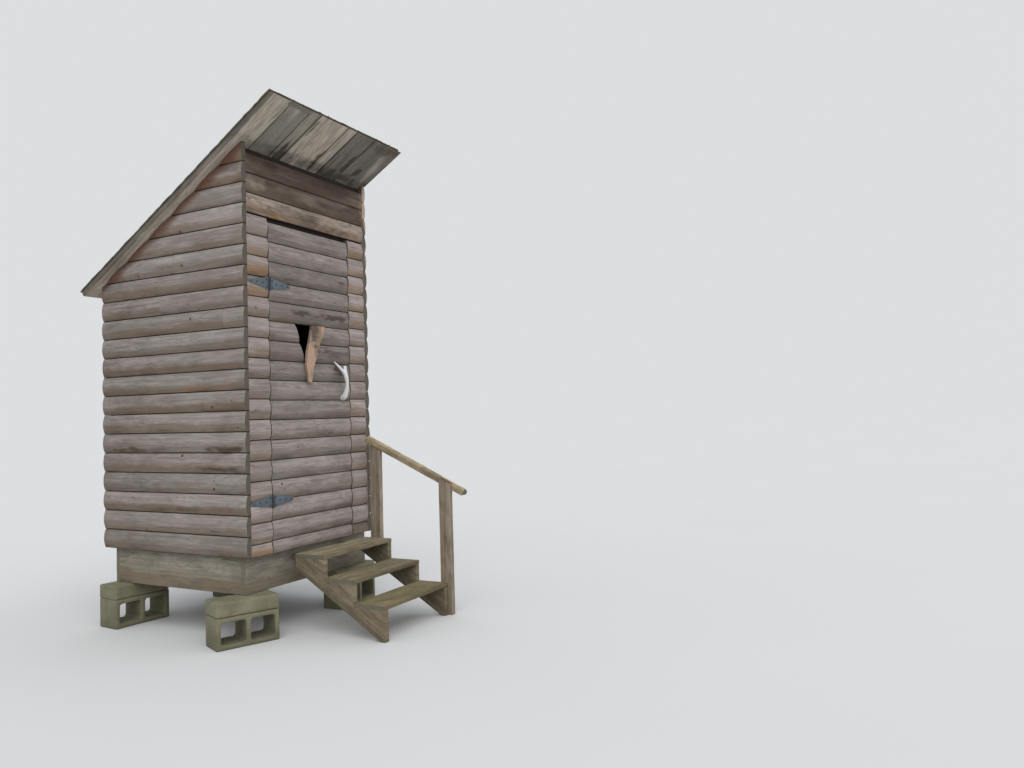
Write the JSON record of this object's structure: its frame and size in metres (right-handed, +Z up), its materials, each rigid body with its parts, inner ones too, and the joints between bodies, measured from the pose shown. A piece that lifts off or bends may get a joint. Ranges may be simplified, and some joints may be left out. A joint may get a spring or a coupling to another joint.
{
  "type": "outhouse",
  "caption": "Small log-sided outhouse on block piers with a single-pitch plank roof, a hinged door, open steps and a handrail.",
  "frame": {"origin": "on the ground, under the middle of the whole footprint with the steps and roof", "axes": "+X to the right along the door front, +Y from the door to the back, +Z up"},
  "size_m": [1.502, 2.367, 3.3662],
  "materials": {
    "log_wood": "weathered grey log siding",
    "door_wood": "weathered grey log siding",
    "frame_wood": "bare sawn timber",
    "skirt_wood": "damp grey-green timber",
    "plank_wood": "weathered planks",
    "roll_covering": "mossy mineral-faced felt",
    "step_wood": "mossy boards",
    "stringer_wood": "damp timber",
    "post_wood": "weathered timber",
    "rail_wood": "half-round slab",
    "slab_wood": "raw live-edge slab",
    "antler": "bleached antler",
    "hinge_iron": "blue-black, rusting",
    "concrete": "rough concrete with a green film"
  },
  "bodies": {
    "root": {"left_wall": "log_wood", "right_wall": "log_wood", "back_wall": "log_wood", "front_wall_left": "log_wood", "front_wall_right": "log_wood", "front_wall_header": "log_wood", "corner_posts": "frame_wood", "side_studs": "frame_wood", "door_posts": "frame_wood", "door_lintel": "frame_wood", "door_stop": "frame_wood", "front_top_plate": "frame_wood", "back_top_plate": "frame_wood", "roof_purlin": "frame_wood", "floor_joists": "frame_wood", "floor_deck": "frame_wood", "skirt_front": "skirt_wood", "skirt_back": "skirt_wood", "skirt_left": "skirt_wood", "skirt_right": "skirt_wood", "roof_planks": "plank_wood", "roof_covering": "roll_covering", "tread_top": "step_wood", "tread_middle": "step_wood", "tread_bottom": "step_wood", "stringer_left": "stringer_wood", "stringer_right": "stringer_wood", "stair_ties": "stringer_wood", "front_rail_post": "post_wood", "rear_rail_post": "post_wood", "handrail": "rail_wood", "upper_hinge_frame_leaf": "hinge_iron", "lower_hinge_frame_leaf": "hinge_iron", "pier_block_front_left": "concrete", "pier_block_front_right": "concrete", "pier_block_back_left": "concrete", "pier_block_back_right": "concrete", "pier_cap_front_left": "concrete", "pier_cap_front_right": "concrete", "pier_cap_back_left": "concrete", "pier_cap_back_right": "concrete"},
    "door": {"door_leaf": "door_wood", "door_batten_left": "frame_wood", "door_batten_right": "frame_wood", "vent_slab": "slab_wood", "antler_handle": "antler", "upper_hinge_door_leaf": "hinge_iron", "lower_hinge_door_leaf": "hinge_iron"}
  },
  "joints": [
    {"name": "door_swing", "type": "hinge", "parent": "root", "child": "door", "pos_m": [-0.33951, -0.30074, 1.557], "axis": [0, 0, -1], "range_deg": [0, 120]}
  ]
}
